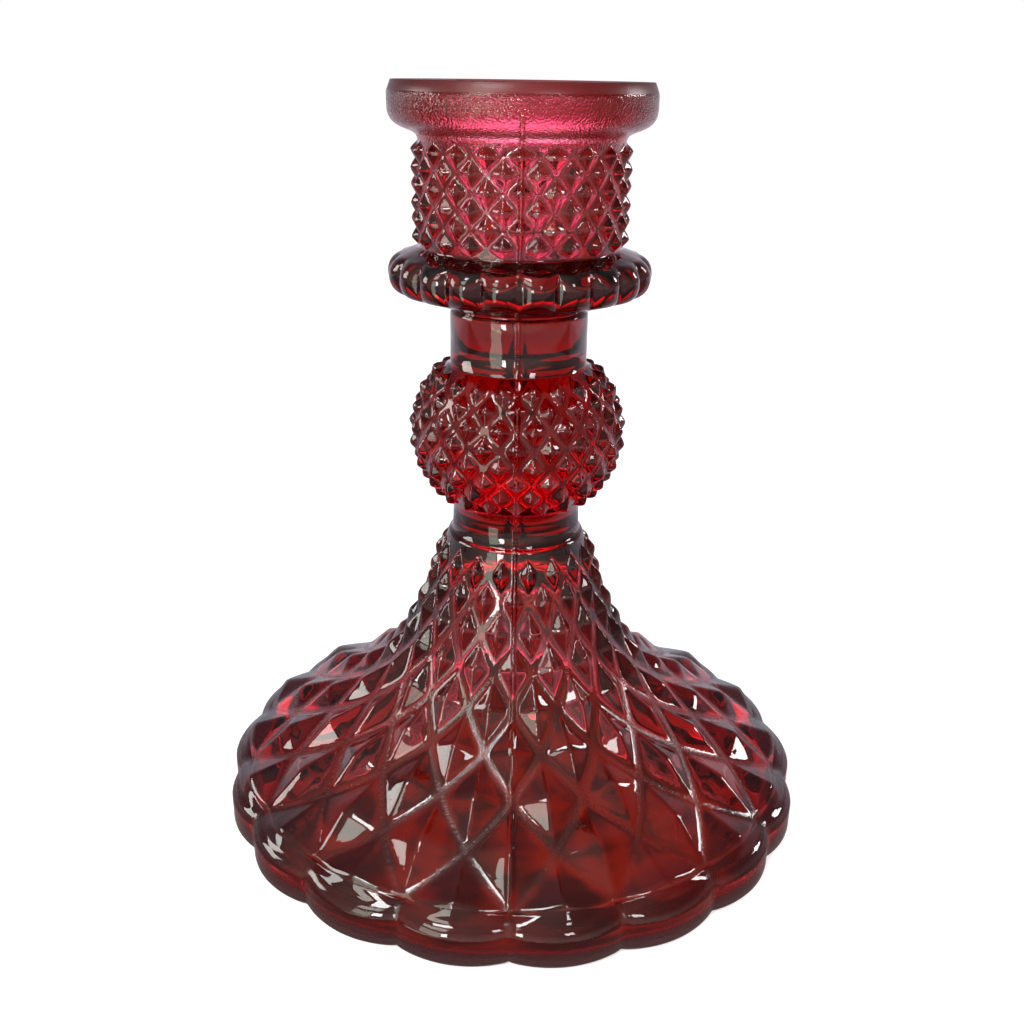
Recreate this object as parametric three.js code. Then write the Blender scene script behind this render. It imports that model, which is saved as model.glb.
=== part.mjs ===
// A pressed glass candlestick for one taper candle, in millimetres, Z up, standing on the XY plane.
// The whole stick is one pressing, so it is one mesh, a closed skin of rings of points. The rings run
// from the crown of the hollow under the foot, out round the foot, up the stem and down the socket.
// Angle 0 is the front, at -Y, where the mould seam runs.
import * as THREE from "three";

// The foot: a scalloped skirt, and a flare of raised diamonds that runs up to the lower neck.
const FOOT_LOBES = 18;
const LOBE_RADIUS = 49;
const LOBE_DEPTH = 1.6;
const SKIRT_HEIGHT = 7;
const SKIRT_WIDEST = 3;
const SKIRT_SHOULDER = 1.9;
const SKIRT_EDGE_ROUND = 0.8;
const FLARE_HEIGHT = 40;
const FLARE_TOP_RADIUS = 11;
const FLARE_LOW_REACH = 23.3;
const FLARE_LOW_RISE = 13.7;
const FLARE_HIGH_REACH = 7.3;
const FLARE_HIGH_DROP = 26;
const FLARE_ROWS = 9;
const FLARE_ROW_GRADE = 0.45;
const FLARE_RELIEF = 1.7;
const FLARE_TOP_RELIEF = 1.2;

// The stem: two plain necks with a diamond knop between them.
const LOWER_NECK_RADIUS = 10.2;
const LOWER_NECK_LENGTH = 5.3;
const KNOP_RADIUS = 16.1;
const KNOP_HEIGHT = 23.1;
const KNOP_DIAMONDS = 20;
const KNOP_ROWS = 9;
const KNOP_RELIEF = 1.2;
const UPPER_NECK_RADIUS = 10.6;
const UPPER_NECK_LENGTH = 7.6;
const NECK_TOP_ROUND = 0.8;

// The drip collar: a thick disc with upright lobes round its edge.
const COLLAR_LOBES = 22;
const COLLAR_RADIUS = 20;
const COLLAR_LOBE_DEPTH = 0.9;
const COLLAR_UNDER_RISE = 2.5;
const COLLAR_EDGE_HEIGHT = 6.5;
const COLLAR_EDGE_ROUND = 2.4;
const COLLAR_TOP_RISE = 1;

// The socket cup: a band of diamonds under a flared rim with a bevelled lip.
const CUP_RADIUS = 15.2;
const CUP_HEIGHT = 15.3;
const CUP_DIAMONDS = 20;
const CUP_ROWS = 7;
const CUP_ROW_PITCH = 2.45;
const CUP_RELIEF = 1.1;
const RIM_RADIUS = 19.5;
const RIM_FLARE_HEIGHT = 4.2;
const RIM_BAND_HEIGHT = 2.1;
const LIP_HEIGHT = 1.6;
const LIP_INSET = 0.6;

// The socket bore takes a 22 mm taper, and the hollow under the foot leaves an even wall.
const TAPER_DIAMETER = 22;
const TAPER_CLEARANCE = 0.9;
const BORE_DEPTH = 24;
const BORE_DRAFT = 0.3;
const BORE_ROUND = 0.8;
const HOLLOW_MOUTH_RADIUS = 42.6;
const FOOT_WALL = 5.5;
const HOLLOW_REACH = 0.82;
const HOLLOW_ROWS = 7;
const HOLLOW_CROWN = 5;

// How finely the plain rings are drawn.
const NECK_STEPS = 40;
const BORE_STEPS = 40;
const HOLLOW_STEPS = 54;
const STEPS_PER_FOOT_LOBE = 6;
const STEPS_PER_COLLAR_LOBE = 4;

// Heights where one feature ends and the next begins, stacked from the table.
const LOWER_NECK_BASE = SKIRT_HEIGHT + FLARE_HEIGHT;
const KNOP_BASE = LOWER_NECK_BASE + LOWER_NECK_LENGTH;
const UPPER_NECK_BASE = KNOP_BASE + KNOP_HEIGHT;
const COLLAR_BASE = UPPER_NECK_BASE + UPPER_NECK_LENGTH;
const COLLAR_EDGE_BASE = COLLAR_BASE + COLLAR_UNDER_RISE;
const CUP_BASE = COLLAR_EDGE_BASE + COLLAR_EDGE_HEIGHT + COLLAR_TOP_RISE;
const CUP_TOP = CUP_BASE + CUP_HEIGHT;
const RIM_BASE = CUP_TOP + RIM_FLARE_HEIGHT;
const RIM_TOP = RIM_BASE + RIM_BAND_HEIGHT;
const LIP_TOP = RIM_TOP + LIP_HEIGHT;
const BORE_RADIUS = (TAPER_DIAMETER + TAPER_CLEARANCE) / 2;
const BORE_FLOOR = LIP_TOP - BORE_DEPTH;
const FLARE_RADIUS = LOBE_RADIUS - LOBE_DEPTH - SKIRT_SHOULDER;

// A profile point: its distance from the axis, and its height.
const at = (radius, height) => new THREE.Vector2(radius, height);

// A ring of points round the axis. place gives each one's profile point from its angle and number.
function ring(count, place) {
  return Array.from({ length: count }, (_, step) => {
    const angle = (step / count) * 2 * Math.PI;
    const point = place(angle, step);
    return new THREE.Vector3(point.x * Math.sin(angle), -point.x * Math.cos(angle), point.y);
  });
}

const roundRing = (count, radius, height) => ring(count, () => at(radius, height));

// Profile points on a quarter of an ellipse, from one angle to another, in degrees.
function arc(centre, halfWidth, halfHeight, from, to, steps) {
  return Array.from({ length: steps + 1 }, (_, step) => {
    const turn = THREE.MathUtils.degToRad(from + ((to - from) * step) / steps);
    return at(centre.x + halfWidth * Math.cos(turn), centre.y + halfHeight * Math.sin(turn));
  });
}

// How far a scalloped edge stands out at an angle: 0 in a notch, 1 on the middle of a lobe.
const lobeShape = (lobes, angle) => Math.abs(Math.sin((lobes * angle) / 2));

function lobedRing(lobes, stepsPerLobe, radius, depth, height) {
  return ring(lobes * stepsPerLobe, (angle) =>
    at(radius - depth * (1 - lobeShape(lobes, angle)), height));
}

// Rows of raised diamonds over a profile. Each row has two points to a diamond: one is the diamond's
// tip, lifted off the surface, and the next is the valley where four diamonds meet. Tips and valleys
// change places from row to row, so the joined rows are four-sided pyramids.
function diamondRings(diamonds, profile, relief, tipAtFrontOfRow) {
  return profile.map((point, row) => {
    const before = profile[Math.max(row - 1, 0)];
    const after = profile[Math.min(row + 1, profile.length - 1)];
    const along = after.clone().sub(before).normalize();
    const outward = at(along.y, -along.x);
    const tip = point.clone().addScaledVector(outward, relief(row));
    return ring(2 * diamonds, (_, step) => ((step + row + tipAtFrontOfRow) % 2 === 0 ? tip : point));
  });
}

// The foot's flare, from the skirt's shoulder to the lower neck, as one smooth curve. It leaves the
// skirt inwards and upwards by the low reach and rise, and comes to its top by the high reach and drop.
const flareCurve = new THREE.CubicBezierCurve(
  at(FLARE_RADIUS, SKIRT_HEIGHT),
  at(FLARE_RADIUS - FLARE_LOW_REACH, SKIRT_HEIGHT + FLARE_LOW_RISE),
  at(FLARE_TOP_RADIUS + FLARE_HIGH_REACH, LOWER_NECK_BASE - FLARE_HIGH_DROP),
  at(FLARE_TOP_RADIUS, LOWER_NECK_BASE),
);

// The hollow under the foot: the flare's curve moved inwards by the wall, closed by a round crown.
function hollowRings() {
  const wall = Array.from({ length: HOLLOW_ROWS }, (_, row) => {
    const share = HOLLOW_REACH * (1 - row / HOLLOW_ROWS);
    const along = flareCurve.getTangentAt(share);
    return flareCurve.getPointAt(share).add(at(-along.y, along.x).multiplyScalar(FOOT_WALL));
  });
  const crown = arc(at(0, wall[0].y), wall[0].x, HOLLOW_CROWN, 65, 25, 2);
  const profile = [...crown, ...wall, at(HOLLOW_MOUTH_RADIUS, 0)];
  return profile.map((point) => roundRing(HOLLOW_STEPS, point.x, point.y));
}

// The scalloped skirt: the flat ring it stands on, its rounded foot and its rounded shoulder.
function skirtRings() {
  const lower = arc(at(-SKIRT_EDGE_ROUND, SKIRT_EDGE_ROUND), SKIRT_EDGE_ROUND, SKIRT_EDGE_ROUND, -90, 0, 2);
  const upper = arc(
    at(-SKIRT_SHOULDER, SKIRT_WIDEST), SKIRT_SHOULDER, SKIRT_HEIGHT - SKIRT_WIDEST, 0, 60, 2,
  );
  return [...lower, ...upper].map((point) =>
    lobedRing(FOOT_LOBES, STEPS_PER_FOOT_LOBE, LOBE_RADIUS + point.x, LOBE_DEPTH, point.y));
}

function flareRings() {
  const profile = Array.from({ length: FLARE_ROWS + 1 }, (_, row) => {
    const share = row / FLARE_ROWS;
    return flareCurve.getPointAt(share * (1 + FLARE_ROW_GRADE * (1 - share)));
  });
  const relief = (row) => {
    if (row === FLARE_ROWS) return 0;
    return THREE.MathUtils.lerp(FLARE_RELIEF, FLARE_TOP_RELIEF, row / FLARE_ROWS);
  };
  return diamondRings(FOOT_LOBES, profile, relief, 1);
}

// The knop is an ellipsoid cut off where it meets each neck.
function knopRings() {
  const low = -Math.acos(LOWER_NECK_RADIUS / KNOP_RADIUS);
  const high = Math.acos(UPPER_NECK_RADIUS / KNOP_RADIUS);
  const halfHeight = KNOP_HEIGHT / (Math.sin(high) - Math.sin(low));
  const middle = KNOP_BASE - halfHeight * Math.sin(low);
  const profile = Array.from({ length: KNOP_ROWS + 1 }, (_, row) => {
    const turn = low + ((high - low) * row) / KNOP_ROWS;
    return at(KNOP_RADIUS * Math.cos(turn), middle + halfHeight * Math.sin(turn));
  });
  const relief = (row) => (row === 0 || row === KNOP_ROWS ? 0 : KNOP_RELIEF);
  return diamondRings(KNOP_DIAMONDS, profile, relief, 1);
}

function upperNeckRings() {
  const round = arc(
    at(UPPER_NECK_RADIUS - NECK_TOP_ROUND, COLLAR_BASE - NECK_TOP_ROUND),
    NECK_TOP_ROUND, NECK_TOP_ROUND, 0, 90, 2,
  );
  return round.map((point) => roundRing(NECK_STEPS, point.x, point.y));
}

// The collar: a shallow cone underneath, a fat lobed edge, and a short slope up to the cup.
function collarRings() {
  const middle = at(COLLAR_RADIUS - COLLAR_EDGE_ROUND, COLLAR_EDGE_BASE + COLLAR_EDGE_HEIGHT / 2);
  const edge = arc(middle, COLLAR_EDGE_ROUND, COLLAR_EDGE_HEIGHT / 2, -80, 80, 6);
  return edge.map((point) => {
    const standing = (point.x - middle.x) / COLLAR_EDGE_ROUND;
    return lobedRing(
      COLLAR_LOBES, STEPS_PER_COLLAR_LOBE, point.x, COLLAR_LOBE_DEPTH * standing, point.y,
    );
  });
}

// The cup's diamond rows keep their pitch, and the rows at the two edges are cut short.
function cupRings() {
  const cut = (CUP_HEIGHT - (CUP_ROWS - 2) * CUP_ROW_PITCH) / 2;
  const profile = Array.from({ length: CUP_ROWS + 1 }, (_, row) => {
    if (row === 0) return at(CUP_RADIUS, CUP_BASE);
    if (row === CUP_ROWS) return at(CUP_RADIUS, CUP_TOP);
    return at(CUP_RADIUS, CUP_BASE + cut + (row - 1) * CUP_ROW_PITCH);
  });
  const relief = (row) => (row === 0 || row === CUP_ROWS ? 0 : CUP_RELIEF);
  return diamondRings(CUP_DIAMONDS, profile, relief, 0);
}

// The rim swells out of the cup in an S curve, stands straight, and is bevelled at the lip.
function rimRings() {
  const swell = new THREE.CubicBezierCurve(
    at(CUP_RADIUS, CUP_TOP),
    at(CUP_RADIUS, CUP_TOP + 0.38 * RIM_FLARE_HEIGHT),
    at(RIM_RADIUS, RIM_BASE - 0.79 * RIM_FLARE_HEIGHT),
    at(RIM_RADIUS, RIM_BASE),
  );
  const lip = [at(RIM_RADIUS, RIM_TOP), at(RIM_RADIUS - LIP_INSET, LIP_TOP)];
  const profile = [...swell.getPoints(6).slice(1), ...lip];
  return profile.map((point) => roundRing(NECK_STEPS, point.x, point.y));
}

// The blind bore: a rounded mouth, a slight draft, and a rounded corner at its floor.
function boreRings() {
  const mouth = arc(at(BORE_RADIUS + BORE_ROUND, LIP_TOP - BORE_ROUND), -BORE_ROUND, BORE_ROUND, 90, 0, 2);
  const corner = arc(
    at(BORE_RADIUS - BORE_DRAFT - BORE_ROUND, BORE_FLOOR + BORE_ROUND), BORE_ROUND, -BORE_ROUND, 0, 90, 2,
  );
  return [...mouth, ...corner].map((point) => roundRing(BORE_STEPS, point.x, point.y));
}

// Joins rings into one closed skin. Between rings of equal count each four-sided cell is split
// along its deeper diagonal, which is the valley between two diamonds.
function skin(start, rings, end) {
  const points = [start];
  const faces = [];
  const numbered = rings.map((points3d) => {
    const first = points.length;
    points.push(...points3d);
    return points3d.map((_, step) => first + step);
  });
  const depth = (outward, a, b) => outward.dot(points[a]) + outward.dot(points[b]);

  const addCell = (a0, a1, b0, b1) => {
    const across = points[a1].clone().sub(points[a0]);
    const outward = across.cross(points[b0].clone().sub(points[a0]));
    if (depth(outward, a1, b0) <= depth(outward, a0, b1)) faces.push(a0, a1, b0, a1, b1, b0);
    else faces.push(a0, a1, b1, a0, b1, b0);
  };

  const join = (a, b) => {
    let i = 0;
    let j = 0;
    while (i < a.length || j < b.length) {
      const nextA = (i + 1) * b.length;
      const nextB = (j + 1) * a.length;
      const a0 = a[i % a.length];
      const b0 = b[j % b.length];
      const a1 = a[(i + 1) % a.length];
      const b1 = b[(j + 1) % b.length];
      if (nextA === nextB) addCell(a0, a1, b0, b1);
      else if (nextA < nextB) faces.push(a0, a1, b0);
      else faces.push(a0, b1, b0);
      if (nextA <= nextB) i += 1;
      if (nextB <= nextA) j += 1;
    }
  };

  const firstRing = numbered[0];
  firstRing.forEach((point, step) => faces.push(0, firstRing[(step + 1) % firstRing.length], point));
  for (let step = 1; step < numbered.length; step += 1) join(numbered[step - 1], numbered[step]);
  const last = points.push(end) - 1;
  const lastRing = numbered[numbered.length - 1];
  lastRing.forEach((point, step) => faces.push(point, lastRing[(step + 1) % lastRing.length], last));

  const geometry = new THREE.BufferGeometry();
  geometry.setAttribute(
    "position",
    new THREE.Float32BufferAttribute(points.flatMap((point) => point.toArray()), 3),
  );
  geometry.setIndex(faces);
  geometry.computeVertexNormals();
  return geometry;
}

const rings = [
  ...hollowRings(),
  ...skirtRings(),
  ...flareRings(),
  ...knopRings(),
  ...upperNeckRings(),
  ...collarRings(),
  ...cupRings(),
  ...rimRings(),
  ...boreRings(),
];
const crown = new THREE.Vector3(0, 0, rings[0][0].z + 0.1 * HOLLOW_CROWN);
const boreFloor = new THREE.Vector3(0, 0, BORE_FLOOR);
const glass = new THREE.MeshStandardMaterial({ color: "#8c1a20", roughness: 0.05 });
const body = new THREE.Mesh(skin(crown, rings, boreFloor), glass);
body.name = "glass_body";

const candlestick = new THREE.Group();
candlestick.add(body);
export default candlestick;
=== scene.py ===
# %% [markdown]
# # A pressed ruby glass candlestick
# The real thing is one pressing of glass that is red all the way through. Hot glass was pressed in an
# iron mould, which left raised diamonds on foot, knop and cup, and a fine seam up the front and back.
#
# It could be modelled face by face, or its diamonds could be cut one at a time. But one rule makes
# almost all of its shape: a profile is spun round an axis, and a pattern is pushed out of it. So the
# stick is built that way, by one Geometry Nodes tree that reads the profile.
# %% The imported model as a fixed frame
import math

import bmesh
import bpy
import numpy as np
from mathutils import Matrix, Vector


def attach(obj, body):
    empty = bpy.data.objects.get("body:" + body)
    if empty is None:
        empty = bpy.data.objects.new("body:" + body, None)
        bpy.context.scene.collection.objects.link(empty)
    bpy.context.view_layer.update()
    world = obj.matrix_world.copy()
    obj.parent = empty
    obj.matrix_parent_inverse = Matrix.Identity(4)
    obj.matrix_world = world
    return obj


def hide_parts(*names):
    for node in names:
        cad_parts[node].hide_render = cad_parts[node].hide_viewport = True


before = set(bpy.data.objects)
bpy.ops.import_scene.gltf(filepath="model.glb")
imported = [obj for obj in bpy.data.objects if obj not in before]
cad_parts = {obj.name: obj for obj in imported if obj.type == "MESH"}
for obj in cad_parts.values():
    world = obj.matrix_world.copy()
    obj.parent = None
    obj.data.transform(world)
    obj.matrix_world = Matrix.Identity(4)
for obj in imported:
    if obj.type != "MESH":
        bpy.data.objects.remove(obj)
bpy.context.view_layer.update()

# %% [markdown]
# ## The camera
# The photograph looks slightly down on the stick from close by, which is why its rings open towards
# the foot. The camera comes first, because everything after it is judged through it.
# %% The camera at the photograph's viewing angle
CAMERA_PLACE = (-0.00011, -0.17091, 0.11746)
CAMERA_PITCH = math.radians(21.535)
CAMERA_YAW = math.radians(-0.175)
CAMERA_ROLL = math.radians(0.865)
LENS, SENSOR_WIDTH, NEAR_CLIP = 39.31, 36, 0.01

level = Vector((math.cos(CAMERA_YAW), -math.sin(CAMERA_YAW), 0))
ahead = Vector((
    math.sin(CAMERA_YAW) * math.cos(CAMERA_PITCH),
    math.cos(CAMERA_YAW) * math.cos(CAMERA_PITCH),
    -math.sin(CAMERA_PITCH),
))
upright = level.cross(ahead)
right = level * math.cos(CAMERA_ROLL) + upright * math.sin(CAMERA_ROLL)
up = upright * math.cos(CAMERA_ROLL) - level * math.sin(CAMERA_ROLL)
facing = Matrix((right, up, -ahead)).transposed()

camera = bpy.data.objects.new("camera", bpy.data.cameras.new("camera"))
camera.data.lens = LENS
camera.data.sensor_width = SENSOR_WIDTH
camera.data.clip_start = NEAR_CLIP
camera.matrix_world = Matrix.Translation(CAMERA_PLACE) @ facing.to_4x4()
bpy.context.scene.collection.objects.link(camera)
bpy.context.scene.camera = camera
bpy.context.scene.view_settings.view_transform = "Standard"
print("camera at", CAMERA_PLACE)

# %% [markdown]
# ## The profile
# Half of the stick's outline, from the crown of the hollow under the foot, out round the foot, up the
# stem and down into the socket. It could be one drawn curve, but each of its points also has to carry
# what happens at its height, so it is a list of stations: how many diamonds go round, how far they
# stand out, which row lies there, how wide the flat strips between them are, and how deep the edge is
# scalloped. Sizes are in millimetres, as in the part's source, and turned to metres at the end.
# %% The list of stations
stations = []


def station(place, diamonds=0, row=0.0, relief=0.0, first=-99, last=99, lobes=0, depth=0.0, strip=0.0):
    """Adds one point of the outline, with the pattern at its height.

    Only diamonds whose middles lie between the rows first and last stand out. strip is how much of a
    diamond's half-width stays flat, as a share.
    """
    stations.append({
        "place": place, "diamonds": diamonds, "row": row, "relief": relief, "first": first,
        "last": last, "lobes": lobes, "depth": depth, "strip": strip,
    })

# %% [markdown]
# The outline is made of arcs, straight lines and smooth curves. Each of the helpers gives points at
# even steps, because every station becomes a ring of the mesh, and uneven rings would show as bands.
# %% Arcs, lines and curves
def arc(centre, half_width, half_height, start, end, count):
    """Points on an ellipse, both ends included, with angles in degrees."""
    turns = np.radians(np.linspace(start, end, count))
    return [(centre[0] + half_width * math.cos(t), centre[1] + half_height * math.sin(t)) for t in turns]


def line(start, end, count):
    """Points on a straight line, without its start."""
    shares = np.linspace(0, 1, count + 1)[1:]
    return [tuple(np.array(start) + (np.array(end) - np.array(start)) * share) for share in shares]


def beside(point, step):
    """The point one step away from another."""
    return (point[0] + step[0], point[1] + step[1])


class Bezier:
    """A cubic curve that can be asked for a point at a share of its length."""

    FINE_STEPS = 401
    NEARBY = 1e-3

    def __init__(self, *corners):
        self.corners = np.array(corners, float)
        fine = np.linspace(0, 1, self.FINE_STEPS)
        points = np.array([self.at(t) for t in fine])
        lengths = np.concatenate([[0], np.cumsum(np.linalg.norm(np.diff(points, axis=0), axis=1))])
        self.fine, self.lengths = fine, lengths / lengths[-1]

    def at(self, t):
        a, b, c, d = self.corners
        s = 1 - t
        return s**3 * a + 3 * s * s * t * b + 3 * s * t * t * c + t**3 * d

    def along(self, share):
        return self.at(np.interp(share, self.lengths, self.fine))

    def inward(self, share, distance):
        """The point beside the curve, on the side of the axis."""
        step = self.along(min(share + self.NEARBY, 1)) - self.along(max(share - self.NEARBY, 0))
        step /= np.linalg.norm(step)
        return self.along(share) + distance * np.array([-step[1], step[0]])

# %% [markdown]
# ## The foot
# A trumpet of glass that opens from the stem to a scalloped edge. Its flare is one smooth curve, and
# the hollow under it follows that curve at the wall's thickness, as the plunger left it, so the curve
# is made first and both are taken from it.
# %% The curve of the flare
FOOT_LOBES, LOBE_RADIUS, LOBE_DEPTH, LOBE_SHOULDER = 18, 48.94, 1.6, 1.9
FLARE_RADIUS = LOBE_RADIUS - LOBE_DEPTH - LOBE_SHOULDER
FLARE_BASE, FLARE_TOP, FLARE_TOP_RADIUS = 7.0, 47.4, 11.0
FLARE_LOW_HANDLE, FLARE_HIGH_HANDLE = (-23.3, 13.7), (7.3, -26)

flare = Bezier(
    (FLARE_RADIUS, FLARE_BASE),
    beside((FLARE_RADIUS, FLARE_BASE), FLARE_LOW_HANDLE),
    beside((FLARE_TOP_RADIUS, FLARE_TOP), FLARE_HIGH_HANDLE),
    (FLARE_TOP_RADIUS, FLARE_TOP),
)
print("foot", 2 * LOBE_RADIUS, "mm across")

# %% The hollow under the foot
HOLLOW_MOUTH_RADIUS, FOOT_WALL, HOLLOW_REACH = 42.6, 5.5, 0.82
HOLLOW_WALL_SHARE, HOLLOW_STEPS = 0.86, 12
HOLLOW_CROWN, CROWN_EDGE_ANGLE, CROWN_STEPS = 5.0, 12, 6
MOUTH_CHAMFER = 0.5

wall = [
    tuple(flare.inward(HOLLOW_REACH * (1 - share), FOOT_WALL))
    for share in np.linspace(0, HOLLOW_WALL_SHARE, HOLLOW_STEPS)
]
crown = arc((0, wall[0][1]), wall[0][0], HOLLOW_CROWN, 90, CROWN_EDGE_ANGLE, CROWN_STEPS)
mouth = line(wall[-1], (HOLLOW_MOUTH_RADIUS, MOUTH_CHAMFER), 3)
for place in crown + wall + mouth:
    station(place)
print("hollow", round(crown[0][1], 1), "mm high inside")

# %% [markdown]
# The real foot was ground flat underneath so that it doesn't rock. Across that ring the lobes grow from
# nothing at the hollow to their full depth at the edge.
# %% The ring that it stands on
EDGE_ROUND = 0.8
ring_inside = HOLLOW_MOUTH_RADIUS + MOUTH_CHAMFER
ring_width = LOBE_RADIUS - EDGE_ROUND - HOLLOW_MOUTH_RADIUS - MOUTH_CHAMFER
station((ring_inside, 0))
for share in np.linspace(0.2, 1, 3):
    station((ring_inside + share * ring_width, 0), lobes=FOOT_LOBES, depth=LOBE_DEPTH * share)
print("standing ring", round(ring_width, 2), "mm wide")

# %% [markdown]
# The foot's edge is a low upright wall, with a crease where the mould's ring met its plates, and above
# it a round shoulder. The lobes are deepest at the wall and fade out up the shoulder, while the
# diamonds of the lowest row rise out of it.
# %% The scalloped skirt
SKIRT_WIDEST, CREASE_HEIGHT, CREASE_HOLD = 3.0, 4.75, 0.15
EDGE_START_ANGLE = -65

edge = arc((LOBE_RADIUS - EDGE_ROUND, EDGE_ROUND), EDGE_ROUND, EDGE_ROUND, EDGE_START_ANGLE, 0, 4)
skirt = edge + line(edge[-1], (LOBE_RADIUS, SKIRT_WIDEST), 2)
skirt += [(LOBE_RADIUS, CREASE_HEIGHT - CREASE_HOLD), (LOBE_RADIUS, CREASE_HEIGHT)]
for place in skirt:
    station(place, lobes=FOOT_LOBES, depth=LOBE_DEPTH)
print(FOOT_LOBES, "lobes round the foot")

# %% The shoulder
SHOULDER_START, SHOULDER_LOW_HANDLE, SHOULDER_HIGH_HANDLE = (-0.04, 0.1), (-0.5, 1.4), (2.1, -0.3)
SHOULDER_STEPS, LOBE_FADE = 10, 0.6
FLARE_RELIEF, FLARE_STRIP = 1.7, 0.07

shoulder = Bezier(
    beside((LOBE_RADIUS, CREASE_HEIGHT), SHOULDER_START),
    beside((LOBE_RADIUS, CREASE_HEIGHT), SHOULDER_LOW_HANDLE),
    beside((FLARE_RADIUS, FLARE_BASE), SHOULDER_HIGH_HANDLE),
    (FLARE_RADIUS, FLARE_BASE),
)
for step in range(SHOULDER_STEPS):
    share = step / SHOULDER_STEPS
    station(
        tuple(shoulder.along(share)), FOOT_LOBES, 1, FLARE_RELIEF * max(0, 2 * share - 1),
        lobes=FOOT_LOBES, depth=LOBE_DEPTH * (1 - LOBE_FADE * share * share), strip=FLARE_STRIP,
    )
print(len(stations), "stations up to the flare")

# %% [markdown]
# The flare carries nine half-rows of diamonds, big and flat at the lobes, small and steep at the neck.
# The rows are graded, so that each diamond keeps its look while the rings get smaller. Between them
# lie flat strips, narrow at the edge and wide at the top, where each diamond stands by itself.
# %% The flare with its nine half-rows of diamonds
FLARE_ROWS, FLARE_ROW_GRADE, FLARE_STEPS = 9, 0.45, 9
FLARE_TOP_RELIEF, FLARE_TOP_STRIP = 1.2, 0.42

for step in range(FLARE_ROWS * FLARE_STEPS + 1):
    row = step / FLARE_STEPS
    share = row / FLARE_ROWS
    place = tuple(flare.along(share * (1 + FLARE_ROW_GRADE * (1 - share))))
    relief = FLARE_RELIEF + (FLARE_TOP_RELIEF - FLARE_RELIEF) * share
    strip = FLARE_STRIP + (FLARE_TOP_STRIP - FLARE_STRIP) * share
    station(place, FOOT_LOBES, row + 1, relief, last=FLARE_ROWS + 1, strip=strip)
print(len(stations), "stations up to the lower neck")

# %% [markdown]
# ## The stem
# Two plain necks with a knop between them. The knop is a ball, slightly flattened, whose diamonds
# close towards both necks. It is an arc of an ellipse between the two angles at which the ball has the
# necks' widths.
# %% The lower neck
KNOP_BASE, LOWER_NECK_RADIUS = 53.3, 10.2
NECK_FILLET, NECK_TAPER = 0.5, 0.1

neck_foot = (LOWER_NECK_RADIUS + NECK_TAPER, FLARE_TOP + NECK_FILLET)
fillet = line((FLARE_TOP_RADIUS, FLARE_TOP), neck_foot, 2)
for place in fillet + line(neck_foot, (LOWER_NECK_RADIUS, KNOP_BASE), 2):
    station(place)
print("lower neck", 2 * LOWER_NECK_RADIUS, "mm across")

# %% The knop
STEM_DIAMONDS = 20
KNOP_TOP, KNOP_RADIUS, UPPER_NECK_RADIUS = 75.4, 16.1, 10.6
KNOP_ROWS, KNOP_STEPS, KNOP_RELIEF, KNOP_STRIP = 9, 6, 1.2, 0.3

low = -math.acos(LOWER_NECK_RADIUS / KNOP_RADIUS)
high = math.acos(UPPER_NECK_RADIUS / KNOP_RADIUS)
knop_half_height = (KNOP_TOP - KNOP_BASE) / (math.sin(high) - math.sin(low))
knop_middle = KNOP_BASE - knop_half_height * math.sin(low)
for step in range(1, KNOP_ROWS * KNOP_STEPS + 1):
    row = step / KNOP_STEPS
    turn = low + (high - low) * row / KNOP_ROWS
    radius = KNOP_RADIUS * math.cos(turn)
    height = knop_middle + knop_half_height * math.sin(turn)
    strip = KNOP_STRIP * KNOP_RADIUS / radius
    station((radius, height), STEM_DIAMONDS, row + 1, KNOP_RELIEF, 1, KNOP_ROWS + 1, strip=strip)
print("knop middle at", round(knop_middle, 2))

# %% The upper neck, up to the underside of the collar
COLLAR_BASE, COLLAR_FILLET = 83.9, 0.8

neck_head = (UPPER_NECK_RADIUS, COLLAR_BASE - COLLAR_FILLET)
fillet_middle = (UPPER_NECK_RADIUS - COLLAR_FILLET, COLLAR_BASE - COLLAR_FILLET)
for place in line((UPPER_NECK_RADIUS, KNOP_TOP), neck_head, 2):
    station(place)
for place in arc(fillet_middle, COLLAR_FILLET, COLLAR_FILLET, 30, 90, 3):
    station(place)
print("upper neck", 2 * UPPER_NECK_RADIUS, "mm across")

# %% [markdown]
# ## The drip collar
# A thick ring of rounded lobes, like a string of beads, that catches wax below the cup. Its edge is
# half an ellipse, and the lobes deepen towards the widest place, so they die out above and below.
# %% The drip collar
COLLAR_LOBES, COLLAR_RADIUS, COLLAR_LOBE_DEPTH = 22, 20.0, 1.3
COLLAR_EDGE_ROUND, COLLAR_EDGE_BASE, COLLAR_EDGE_TOP = 2.4, 86.4, 92.0
COLLAR_EDGE_ANGLE, COLLAR_EDGE_STEPS = 84, 15
UNDERSIDE_START = (-0.6, 0.05)
CUP_BASE, CUP_RADIUS, CUP_FOOT = 93.0, 15.2, (0.2, -0.15)

edge_middle = (COLLAR_RADIUS - COLLAR_EDGE_ROUND, (COLLAR_EDGE_BASE + COLLAR_EDGE_TOP) / 2)
edge_half_height = (COLLAR_EDGE_TOP - COLLAR_EDGE_BASE) / 2
edge = arc(
    edge_middle, COLLAR_EDGE_ROUND, edge_half_height,
    -COLLAR_EDGE_ANGLE, COLLAR_EDGE_ANGLE, COLLAR_EDGE_STEPS,
)
underside = line(beside((UPPER_NECK_RADIUS, COLLAR_BASE), UNDERSIDE_START), edge[0], 4)[:-1]
for place in underside:
    station(place)
for place in edge:
    depth = COLLAR_LOBE_DEPTH * (place[0] - edge_middle[0]) / COLLAR_EDGE_ROUND
    station(place, lobes=COLLAR_LOBES, depth=depth)
for place in line(edge[-1], beside((CUP_RADIUS, CUP_BASE), CUP_FOOT), 3):
    station(place)
print(COLLAR_LOBES, "lobes round the collar")

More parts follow.
